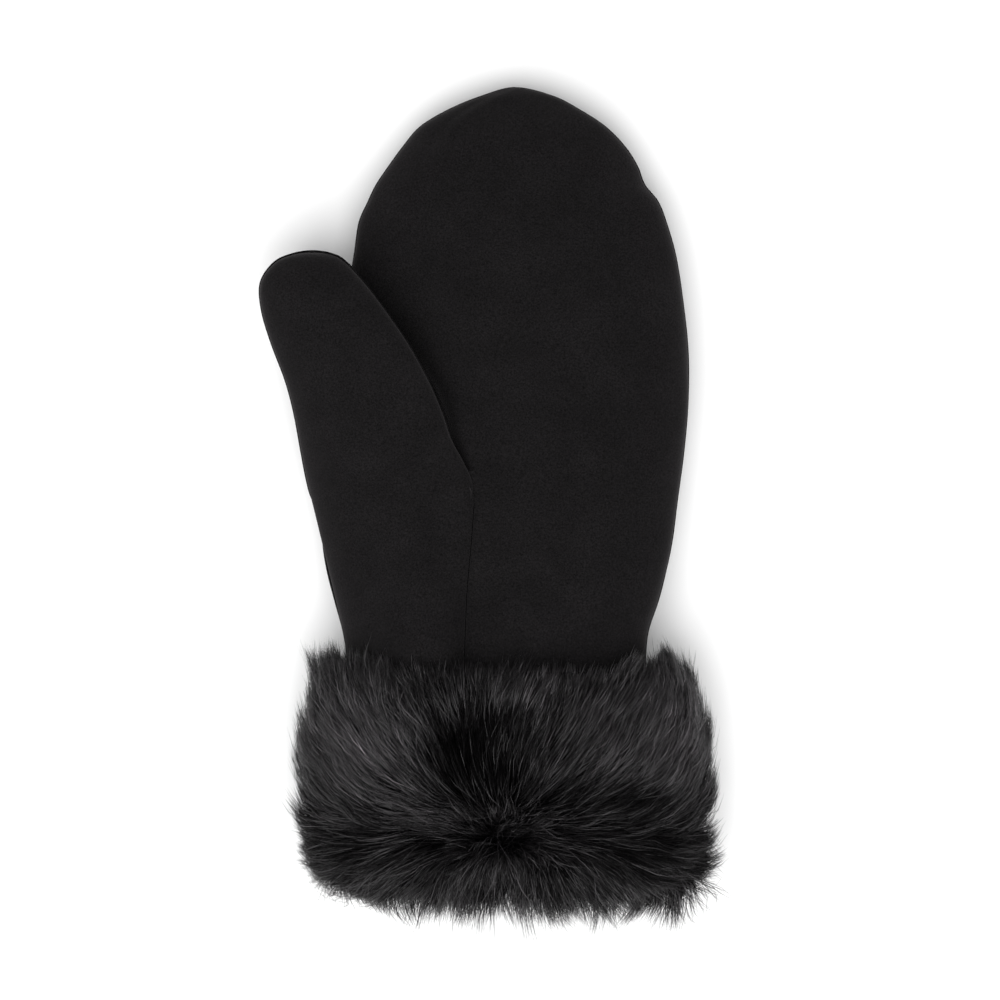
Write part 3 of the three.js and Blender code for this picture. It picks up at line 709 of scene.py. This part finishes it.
# how single hairs differ. Shares, degrees for turns, millimetres for heights.
comb = {
    "uneven": 0.25,
    "bySuede": 0.6,            # how much shorter hairs are next to the suede
    "bySuedeOnTop": 0.09,      # and how much more so on top
    "byCorner": (0.16, 0.74, 0.12),  # and less so beside the suede's two edges: how much, across, wide
    "byMouth": 0.2,            # how much shorter they are towards the mouth
    "strayLonger": 1.12,
    "tuftUneven": 0.12,        # how far a tuft differs in length, twice this at the mouth
    "broadTurn": 7,
    "narrowTurn": 9,
    "ownTurn": 9,
    "guardCalm": 0.6,
    "strayTurn": 22,
    "tipHeight": 1.5,          # how far tips stand out of the pile
    "tipUneven": 0.8,
    "tipWave": 2.0,
    "sideTip": 1.3,            # how much further they do at the two sides
    "sideTipWave": 1.4,
    "strayTip": 2.5,
    "guardTip": 0.6,
    "underTip": 0.5,           # the most that they do under the mitten
    "crossing": 0.3,           # share of the hairs that lie across the parting
    "crossingTurn": 75,
    "astrayTurn": 30,
    "astrayShort": 0.45,
    "steps": (0.0, 0.3, 0.64, 1.0),
    "follow": 0.55,            # how far a hair turns with the lie along its way
    "sideKeep": 0.6,
    "rise": 1.6,               # how soon a hair comes up from its root
    "tuftTone": 0.5,
    "ownTone": 0.85,
    "paler": 2.7,              # stray and guard hairs
    # painted shade in the parting
    "astrayShade": 0.1,
    "tuftSpacing": 4.5,
    "tuftPull": 0.55,          # how far tips go to their tuft
    "guardPull": 0.4,
    "pulls": ((1, 0.12), (2, 0.55), (3, 1.0)),      # point of the hair, share of the pull
}


# four points of each strand, root first, its tone, and whether it is a guard hair
def combStrands(along, angle, dice):
    count = len(along)
    length = fur["strandLength"] * (1 + comb["uneven"] * dice.normal(size=count).clip(-1.6, 1.6))
    overTop = smoothStep(np.sin(angle), 0.1, 0.5)
    less, cornerAt, cornerWide = comb["byCorner"]
    short = comb["bySuede"] + comb["bySuedeOnTop"] * overTop
    short = short - less * np.exp(-(((np.abs(np.cos(angle)) - cornerAt) / cornerWide) ** 2))
    length *= 1 - short * (1 - smoothStep(along - furEdge(angle), 0, 0.2))
    length *= 1 - comb["byMouth"] * smoothStep(along, 0.66, 0.88)
    stray = dice.random(count) < fur["stray"]
    guard = dice.random(count) < fur["guard"]
    length[stray] *= comb["strayLonger"]
    spots = pilePoint(along, angle)
    tuftUneven = comb["tuftUneven"] + comb["tuftUneven"] * smoothStep(along, 0.6, 0.8)
    length *= 1 + tuftUneven * waves(spots, 7, 21)
    broad, narrow = waves(spots, 34, 4), waves(spots, 10, 5)
    wander = np.radians(comb["broadTurn"]) * broad + np.radians(comb["narrowTurn"]) * narrow
    wander += np.radians(comb["ownTurn"]) * dice.normal(size=count) * np.where(guard, comb["guardCalm"], 1)
    wander[stray] += np.radians(comb["strayTurn"]) * dice.normal(size=stray.sum())
    tipUp = comb["tipHeight"] * (1 + comb["tipUneven"] * dice.normal(size=count).clip(-1.5, 2))
    tipUp += comb["tipWave"] * waves(spots, 9, 6)
    side = smoothStep(np.abs(np.cos(angle)), 0.75, 1.0)
    tipUp += side * (comb["sideTip"] + comb["sideTipWave"] * waves(spots, 7, 23))
    tipUp[stray] += comb["strayTip"]
    tipUp[guard] += comb["guardTip"]
    tipUp = np.where(np.sin(angle) < -0.3, np.minimum(tipUp, comb["underTip"]), tipUp)
    points = []
    path = spots
    steps = comb["steps"]
    lie, agreed = lieOf(path, angle)
    # where the fur parts it stands every way, and stray hairs lie across it
    astray = 1 - smoothStep(agreed, 0.55, 0.9)
    crossing = stray | (dice.random(count) < comb["crossing"])
    turns = np.radians(np.where(crossing, comb["crossingTurn"], comb["astrayTurn"]))
    wander = wander + astray * turns * dice.normal(size=count)
    length = length * (1 - comb["astrayShort"] * astray * ~stray)
    for k, s in enumerate(steps):
        if k:
            path = path + way * (length * (s - steps[k - 1]))[:, None]
        nearAlong, nearAngle = placeOn(path)
        out = pileWay(nearAlong, nearAngle)
        if k:
            # keep to the pile while over it, run straight on past its ends
            reached = -path[:, 1] / fur["length"]
            over = (reached > fur["ends"][0]) & (reached < fur["ends"][1])
            surface = pilePoint(nearAlong, nearAngle)
            off = np.sum((path - surface) * out, 1)
            path = path - out * np.where(over, off, 0)[:, None]
        follow = comb["follow"] * (1 - 0.8 * astray)[:, None]
        lie = (1 - follow) * lie + follow * lieOf(path, nearAngle)[0]
        turned = np.stack([
            lie[:, 0] * np.cos(wander) - lie[:, 1] * np.sin(wander),
            lie[:, 0] * np.sin(wander) + lie[:, 1] * np.cos(wander),
            lie[:, 2],
        ], 1)
        way = turned - out * np.sum(turned * out, 1, keepdims=True)
        # at the sides most of the lie points out of the pile, so the strand keeps some of it
        side = smoothStep(np.abs(out[:, 0]), 0.5, 0.95)[:, None]
        way = way + comb["sideKeep"] * side * np.maximum(np.sum(turned * out, 1, keepdims=True), 0) * out
        way /= np.maximum(np.linalg.norm(way, axis=1, keepdims=True), 1e-6)
        # roots begin 1 mm inside the skin
        rise = -fur["skinDepth"] - 1 + (fur["skinDepth"] + 1 + tipUp) * (1 - (1 - s) ** comb["rise"])
        points.append(path + out * rise[:, None])
    strands = np.stack(points, 1)
    strands[:, 1:, 2] = np.maximum(strands[:, 1:, 2], fur["lowest"])
    across, at = strands[:, 2, 0] / fur["width"], -strands[:, 2, 1] / fur["length"]
    tone = np.zeros(count)
    # painted shade and sheen: the listed places darken or lighten the strands' colour
    for x, y, wide, long, amount in furShadeAndSheen:
        tone += amount * np.exp(-(((across - x) / wide) ** 2) - ((at - y) / long) ** 2)
    tone = np.where(np.sin(angle) > -0.1, tone, 0)
    tone = fur["shadeAndSheenStrength"] * tone + comb["tuftTone"] * waves(spots, 8, 9)
    tone = 2.0 ** (tone + comb["ownTone"] * dice.normal(size=count).clip(-2, 2))
    tone[stray | guard] *= comb["paler"]
    # painted shade where the fur parts and its hairs stand every way
    tone *= 1 - comb["astrayShade"] * astray
    return strands, tone, guard


# how many tufts of the wanted spacing these roots fill
def estimateTufts(roots):
    cells = np.unique(np.floor(roots / comb["tuftSpacing"]).astype(int), axis=0)
    return max(8, int(len(cells) * 0.75))


# pulls tips together in tufts
def clumpStrands(strands, guard, dice):
    roots = strands[:, 1]
    share = max(1, int(len(roots) / estimateTufts(roots)))
    centres = np.arange(0, len(roots), share)
    tree = kdtree.KDTree(len(centres))
    for i, c in enumerate(centres):
        tree.insert(Vector(roots[c]), i)
    tree.balance()
    near = np.array([centres[tree.find(Vector(r))[1]] for r in roots])
    pull = comb["tuftPull"] * dice.uniform(0.6, 1.25, len(roots)) * np.where(guard, comb["guardPull"], 1)
    for k, amount in comb["pulls"]:
        goal = strands[near, k]
        strands[:, k] += (goal - strands[:, k]) * (pull * amount)[:, None]
    strands[:, 1:, 2] = np.maximum(strands[:, 1:, 2], fur["lowest"])
    return strands


# each strand as a closed three-sided hair that tapers to a point
def strandMesh(name, strands, tone, guard, finishes):
    count = len(strands)
    run = np.gradient(strands, axis=1)
    run /= np.maximum(np.linalg.norm(run, axis=-1, keepdims=True), 1e-6)
    side = np.cross(run, np.array([0.02, 0.03, 1.0]))
    side /= np.maximum(np.linalg.norm(side, axis=-1, keepdims=True), 1e-6)
    other = np.cross(run, side)
    wide = fur["strandWidth"] / 2 * np.where(guard, fur["guardWidth"], 1)[:, None]
    points = []
    for k, thick in enumerate(fur["taper"]):
        for corner in range(3):
            turn = 2 * math.pi * corner / 3 + 0.5
            way = math.cos(turn) * side[:, k] + math.sin(turn) * other[:, k]
            points.append(strands[:, k] + wide * thick * way)
    points.append(strands[:, 3])
    points = np.stack(points, 1)
    faces = [(0, 2, 1)]
    for k in (0, 3):
        for c in range(3):
            d = (c + 1) % 3
            faces += [(k + c, k + d, k + 3 + d), (k + c, k + 3 + d, k + 3 + c)]
    faces += [(6 + c, 6 + (c + 1) % 3, 9) for c in range(3)]
    faces = np.array(faces)
    every = (faces[None] + 10 * np.arange(count)[:, None, None]).reshape(-1, 3)
    mesh = bpy.data.meshes.new(name)
    mesh.vertices.add(count * 10)
    mesh.vertices.foreach_set("co", toFrame(points).astype(np.float32).ravel())
    mesh.loops.add(every.size)
    mesh.loops.foreach_set("vertex_index", every.ravel().astype(np.int32))
    mesh.polygons.add(len(every))
    mesh.polygons.foreach_set("loop_start", (np.arange(len(every)) * 3).astype(np.int32))
    mesh.polygons.foreach_set("use_smooth", np.ones(len(every), bool))
    mesh.update(calc_edges=True)
    # root to tip in red, which paints shade at the roots; the strand's tone, with its painted shade and sheen
    # places, in green
    shade = np.zeros((count, 10, 4), np.float32)
    shade[:, :, 0] = np.repeat([0.0, 0.4, 0.75, 1.0], [3, 3, 3, 1])
    shade[:, :, 1] = (tone / 4)[:, None]
    shade[:, :, 3] = 1
    layer = mesh.color_attributes.new("strandTone", "FLOAT_COLOR", "POINT")
    layer.data.foreach_set("color", shade.ravel())
    for finish in finishes:
        mesh.materials.append(finish)
    # the tone, with its painted shade and sheen, picks the dull, plain or glossy copy
    finishOf = np.repeat(np.digitize(tone, fur["glossFrom"]), len(faces))
    mesh.polygons.foreach_set("material_index", finishOf.astype(np.int32))
    obj = bpy.data.objects.new(name, mesh)
    bpy.context.scene.collection.objects.link(obj)
    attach(obj, "root")
    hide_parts("fur_cuff")


def makeFur(name, gloss):
    m, nodes, links, shader = newFinish(name)
    shader.inputs["Roughness"].default_value = fur["roughness"]
    shader.inputs["Specular IOR Level"].default_value = gloss
    shader.inputs["Sheen Weight"].default_value = 0.0
    shade = nodes.new("ShaderNodeAttribute")
    shade.attribute_name = "strandTone"
    parts = nodes.new("ShaderNodeSeparateColor")
    links.new(shade.outputs["Color"], parts.inputs["Color"])
    # painted shade: the colour runs from the dark root to the paler tip
    blend = nodes.new("ShaderNodeMix")
    blend.data_type = "RGBA"
    blend.inputs["A"].default_value = (*fur["rootShadeColour"], 1)
    blend.inputs["B"].default_value = (*fur["tipColour"], 1)
    links.new(parts.outputs["Red"], blend.inputs["Factor"])
    four = nodes.new("ShaderNodeMath")
    four.operation = "MULTIPLY"
    four.inputs[1].default_value = 4
    links.new(parts.outputs["Green"], four.inputs[0])
    colour = nodes.new("ShaderNodeVectorMath")
    colour.operation = "SCALE"
    links.new(blend.outputs["Result"], colour.inputs[0])
    links.new(four.outputs["Value"], colour.inputs["Scale"])
    links.new(colour.outputs["Vector"], shader.inputs["Base Color"])
    return m


furBacking = {
    "rows": 30,
    "around": 64,
    "from": 0.07,          # shares of the fur's length
    "to": 0.86,
    "lowest": 3.0,
    "overSuede": -0.4,     # how far inside the suede's outer face it begins; under 0 is outside
    "thinnest": 1.2,
    "rims": (1.0, -2.0),   # how far the rounded rims stand out, towards the suede and towards the mouth
    "roughness": 0.95,
    "grain": 900,
    "dark": (0.0006, 0.0005, 0.0006, 1),
    "pale": (0.002, 0.0018, 0.002, 1),
    "bump": 0.3,
    "bumpDepth": 0.0003,
}


def makeSkin():
    m, nodes, links, shader = newFinish("furSkin")
    shader.inputs["Roughness"].default_value = furBacking["roughness"]
    shader.inputs["Specular IOR Level"].default_value = 0.0
    place = nodes.new("ShaderNodeTexCoord")
    grain = nodes.new("ShaderNodeTexNoise")
    grain.inputs["Scale"].default_value = furBacking["grain"]
    grain.inputs["Detail"].default_value = 5
    links.new(place.outputs["Object"], grain.inputs["Vector"])
    ramp = nodes.new("ShaderNodeValToRGB")
    ramp.color_ramp.elements[0].color = furBacking["dark"]
    ramp.color_ramp.elements[1].color = furBacking["pale"]
    links.new(grain.outputs["Fac"], ramp.inputs["Fac"])
    links.new(ramp.outputs["Color"], shader.inputs["Base Color"])
    bump = nodes.new("ShaderNodeBump")
    bump.inputs["Strength"].default_value = furBacking["bump"]
    bump.inputs["Distance"].default_value = furBacking["bumpDepth"]
    links.new(grain.outputs["Fac"], bump.inputs["Height"])
    links.new(bump.outputs["Normal"], shader.inputs["Normal"])
    return m


furFinishes = [makeFur(name, gloss) for name, gloss in fur["gloss"].items()]
skinFinish = makeSkin()


# the skin that the fur grows on, with the wrist passage through it
def furSkin():
    rows, around = furBacking["rows"], furBacking["around"]
    alongs = np.linspace(furBacking["from"], furBacking["to"], rows)
    angle = np.linspace(0, 2 * math.pi, around, endpoint=False)
    outer = pilePoint(alongs[:, None] + np.zeros(around), angle[None, :] + np.zeros((rows, 1)), fur["skinDepth"])
    outer[..., 2] = np.maximum(outer[..., 2], furBacking["lowest"])
    left, right, over, under, _ = handForm.at(np.zeros(1))
    # 16 mm below the suede's edge it has come in by the suede's wall
    inset = np.interp(-alongs * fur["length"], [-16, -9], [hand["wall"], furBacking["overSuede"]])
    across, up = np.cos(angle), np.sin(angle)
    middle, half = (left[0, 0] + right[0, 0]) / 2, (right[0, 0] - left[0, 0]) / 2
    inner = np.zeros_like(outer)
    inner[..., 0] = middle + (half - inset[:, None]) * across
    inner[..., 1] = outer[..., 1]
    depth = np.where(up > 0, over[0], under[0]) - inset[:, None]
    inner[..., 2] = left[0, 2] + np.sign(up) * depth * np.abs(up) ** hand["round"]
    # the skin keeps its least thickness, also where it lies over the suede
    centre = np.stack([middle + np.zeros(rows), outer[:, 0, 1], left[0, 2] + np.zeros(rows)], -1)[:, None]
    reachOut = np.linalg.norm(outer - centre, axis=-1, keepdims=True)
    reachIn = np.linalg.norm(inner - centre, axis=-1, keepdims=True)
    outer = centre + (outer - centre) * np.maximum(1, (reachIn + furBacking["thinnest"]) / reachOut)
    # the rims are rounded: one more ring half-way between the two faces at each end
    rims = [(outer[k] + inner[k]) / 2 + [0, out, 0] for k, out in zip((0, -1), furBacking["rims"])]
    rings = [rims[0]] + list(outer) + [rims[1]] + list(inner[::-1])
    points = np.concatenate(rings)
    faces = []
    count = len(rings)
    for r in range(count):
        for c in range(around):
            d = (c + 1) % around
            e = (r + 1) % count
            faces.append((r * around + c, r * around + d, e * around + d, e * around + c))
    skin = meshFrom("furSkin", points, faces, skinFinish)
    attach(skin, "root")
    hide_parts("fur_cuff")


# how many strands each piece has, its seed, and where its roots are
furPieces = {
    "furUpper": (12000, 11, lambda along, angle: (np.sin(angle) > 0.2) * (along < 0.42) * 1.0),
    "furLower": (12000, 12, lambda along, angle: (np.sin(angle) > 0.2) * (along >= 0.42) * 1.0),
    "furSides": (11500, 13, lambda along, angle: (np.abs(np.sin(angle) + 0.15) <= 0.35) * 1.0),
    "furUnder": (8000, 14, lambda along, angle: (np.sin(angle) < -0.5) * 1.0),
    "furMouth": (5500, 15, lambda along, angle: (along > 0.8) * 1.0),
}

furSkin()
for name, (count, seed, where) in furPieces.items():
    along, angle, dice = scatterRoots(count, where, seed)
    strands, tone, guard = combStrands(along, angle, dice)
    strands = clumpStrands(strands, guard, dice)
    strandMesh(name, strands, tone, guard, furFinishes)
    print(name, "grown,", count, "strands")


# floor, light and camera

studio = {
    "floor": 0.9,
    "floorRoughness": 0.9,
    "floorSpecular": 0.1,
    "floorReach": 4,
    "overhead": 31.0,
    "overheadSize": 1.6,
    "overheadPlace": (-0.15, -0.75, 1.5),
    "world": 0.82,
    "lens": 180.0,
    "sensor": 36,
    "shown": 0.3333,       # width of the photograph in metres
    "middle": (0.00372, 0.0007),
    "sharpAt": 0.02,       # height that the photograph's scale holds at
}

floorMaterial, _, _, floorShader = newFinish("floor")
floorShader.inputs["Base Color"].default_value = (studio["floor"],) * 3 + (1,)
floorShader.inputs["Roughness"].default_value = studio["floorRoughness"]
floorShader.inputs["Specular IOR Level"].default_value = studio["floorSpecular"]
floorMesh = bpy.data.meshes.new("floor")
reach = studio["floorReach"]
corners = [(-reach, -reach, 0), (reach, -reach, 0), (reach, reach, 0), (-reach, reach, 0)]
floorMesh.from_pydata(corners, [], [(0, 1, 2, 3)])
floorMesh.materials.append(floorMaterial)
floor = bpy.data.objects.new("floor", floorMesh)
bpy.context.scene.collection.objects.link(floor)

world = bpy.data.worlds.new("studio")
world.use_nodes = True
world.node_tree.nodes["Background"].inputs["Color"].default_value = (1, 1, 1, 1)
world.node_tree.nodes["Background"].inputs["Strength"].default_value = studio["world"]
bpy.context.scene.world = world

overheadData = bpy.data.lights.new("overhead", "AREA")
overheadData.size = studio["overheadSize"]
overheadData.energy = studio["overhead"]
overhead = bpy.data.objects.new("overhead", overheadData)
overhead.location = studio["overheadPlace"]
overhead.rotation_euler = (Vector((0, 0, 0)) - overhead.location).to_track_quat("-Z", "Y").to_euler()
bpy.context.scene.collection.objects.link(overhead)

cameraData = bpy.data.cameras.new("camera")
cameraData.lens = studio["lens"]
cameraData.sensor_width = studio["sensor"]
cameraData.sensor_fit = "HORIZONTAL"
cameraData.clip_end = 20
camera = bpy.data.objects.new("camera", cameraData)
away = studio["shown"] * studio["lens"] / studio["sensor"]
camera.location = (*studio["middle"], studio["sharpAt"] + away)
camera.rotation_euler = (0, 0, 0)
bpy.context.scene.collection.objects.link(camera)
bpy.context.scene.camera = camera

look = bpy.context.scene.view_settings
look.view_transform, look.look = "Standard", "None"
look.exposure, look.gamma = 0, 1
print("studio set")
